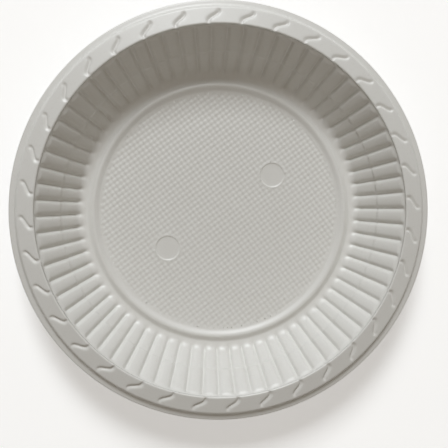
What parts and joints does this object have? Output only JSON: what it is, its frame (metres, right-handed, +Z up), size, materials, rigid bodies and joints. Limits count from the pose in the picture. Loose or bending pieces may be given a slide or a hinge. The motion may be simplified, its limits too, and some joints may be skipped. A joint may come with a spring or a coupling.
{
  "type": "paper plate",
  "caption": "Round moulded plate with a fluted wall, a raised ring around a flat floor, and a sloping rim with S-shaped marks; holds food.",
  "frame": {"origin": "middle of the ring that the plate stands on, in the plane of the table", "axes": "+Z up out of the dish; +X and +Y lie in the table plane, and the sunk floor discs lie about 35 degrees from +X"},
  "size_m": [0.18, 0.18, 0.0229],
  "materials": {
    "moulded_pulp": "matte pressed surface with a faint fibre mottle"
  },
  "bodies": {
    "root": {"plate": "moulded_pulp"}
  },
  "joints": []
}
